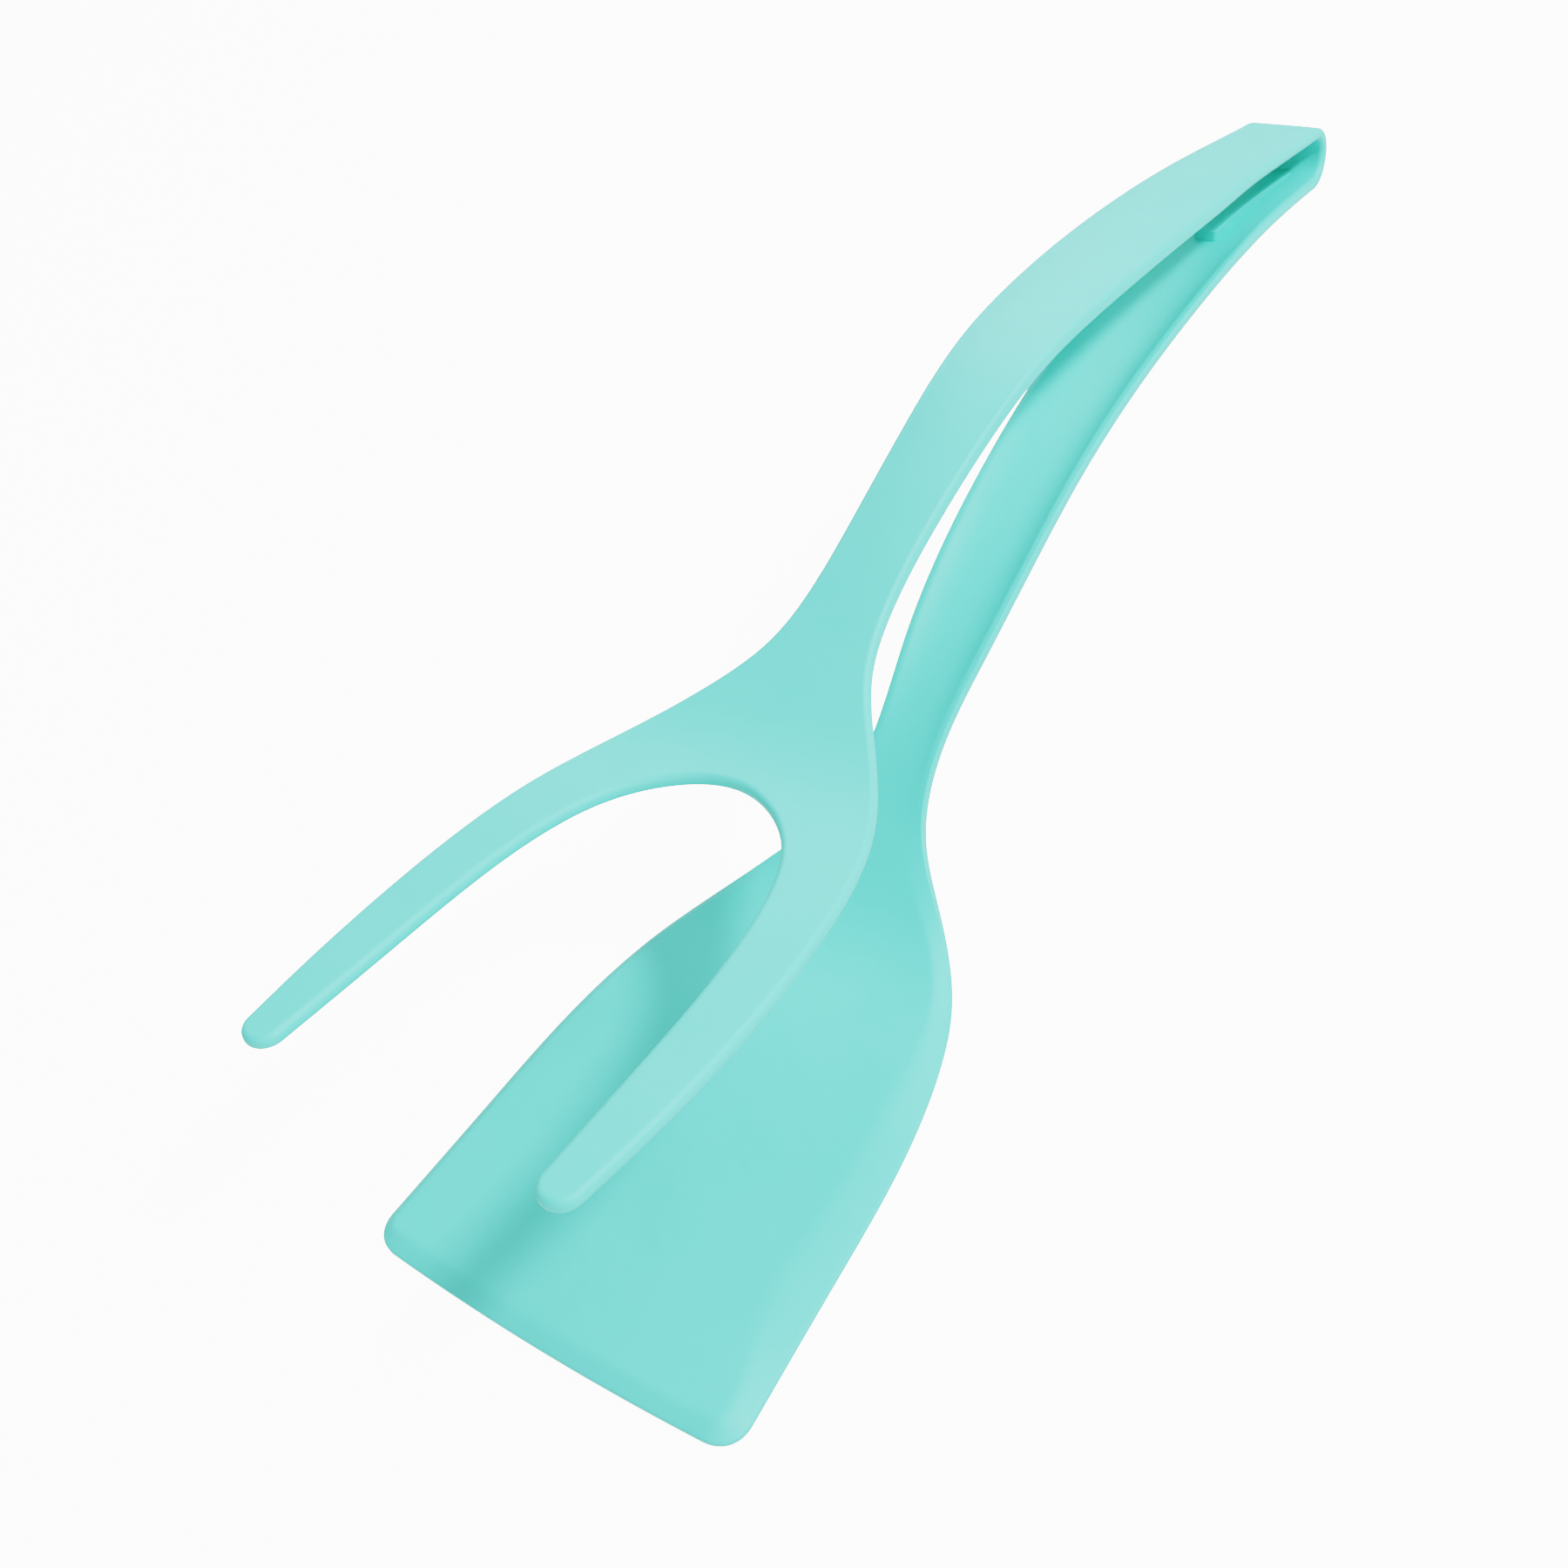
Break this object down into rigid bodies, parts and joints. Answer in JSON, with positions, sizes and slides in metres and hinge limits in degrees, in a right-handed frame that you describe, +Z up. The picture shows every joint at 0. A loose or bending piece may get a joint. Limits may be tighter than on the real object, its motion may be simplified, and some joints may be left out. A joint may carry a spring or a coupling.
{
  "type": "spring loaded kitchen tongs",
  "caption": "One-piece moulded plastic turning tongs: a flat bevelled spatula blade below, a two-pronged fork above, joined by a springy U-bend at the tail.",
  "frame": {"origin": "middle of the spatula blade's front edge, on the plane of its flat underside", "axes": "+X from the blade's front edge along the tongs to the tail bend, +Y to the left side seen from the tail, +Z up out of the blade towards the fork"},
  "size_m": [0.2799, 0.0726, 0.0685],
  "materials": {
    "mint_plastic": "satin, very fine moulded grain"
  },
  "bodies": {
    "spatula_arm": {"spatula_blade": "mint_plastic", "lower_handle": "mint_plastic", "tail_rib": "mint_plastic", "spring_bend": "mint_plastic"},
    "fork_arm": {"upper_handle": "mint_plastic", "fork_prongs": "mint_plastic"}
  },
  "joints": [
    {"name": "squeeze", "type": "hinge", "parent": "spatula_arm", "child": "fork_arm", "pos_m": [0.2768, 0, 0.0387], "axis": [0, -1, 0], "range_deg": [0, 11.6], "stiffness_Nm_per_rad": 5, "deforming": ["spring_bend"]}
  ]
}
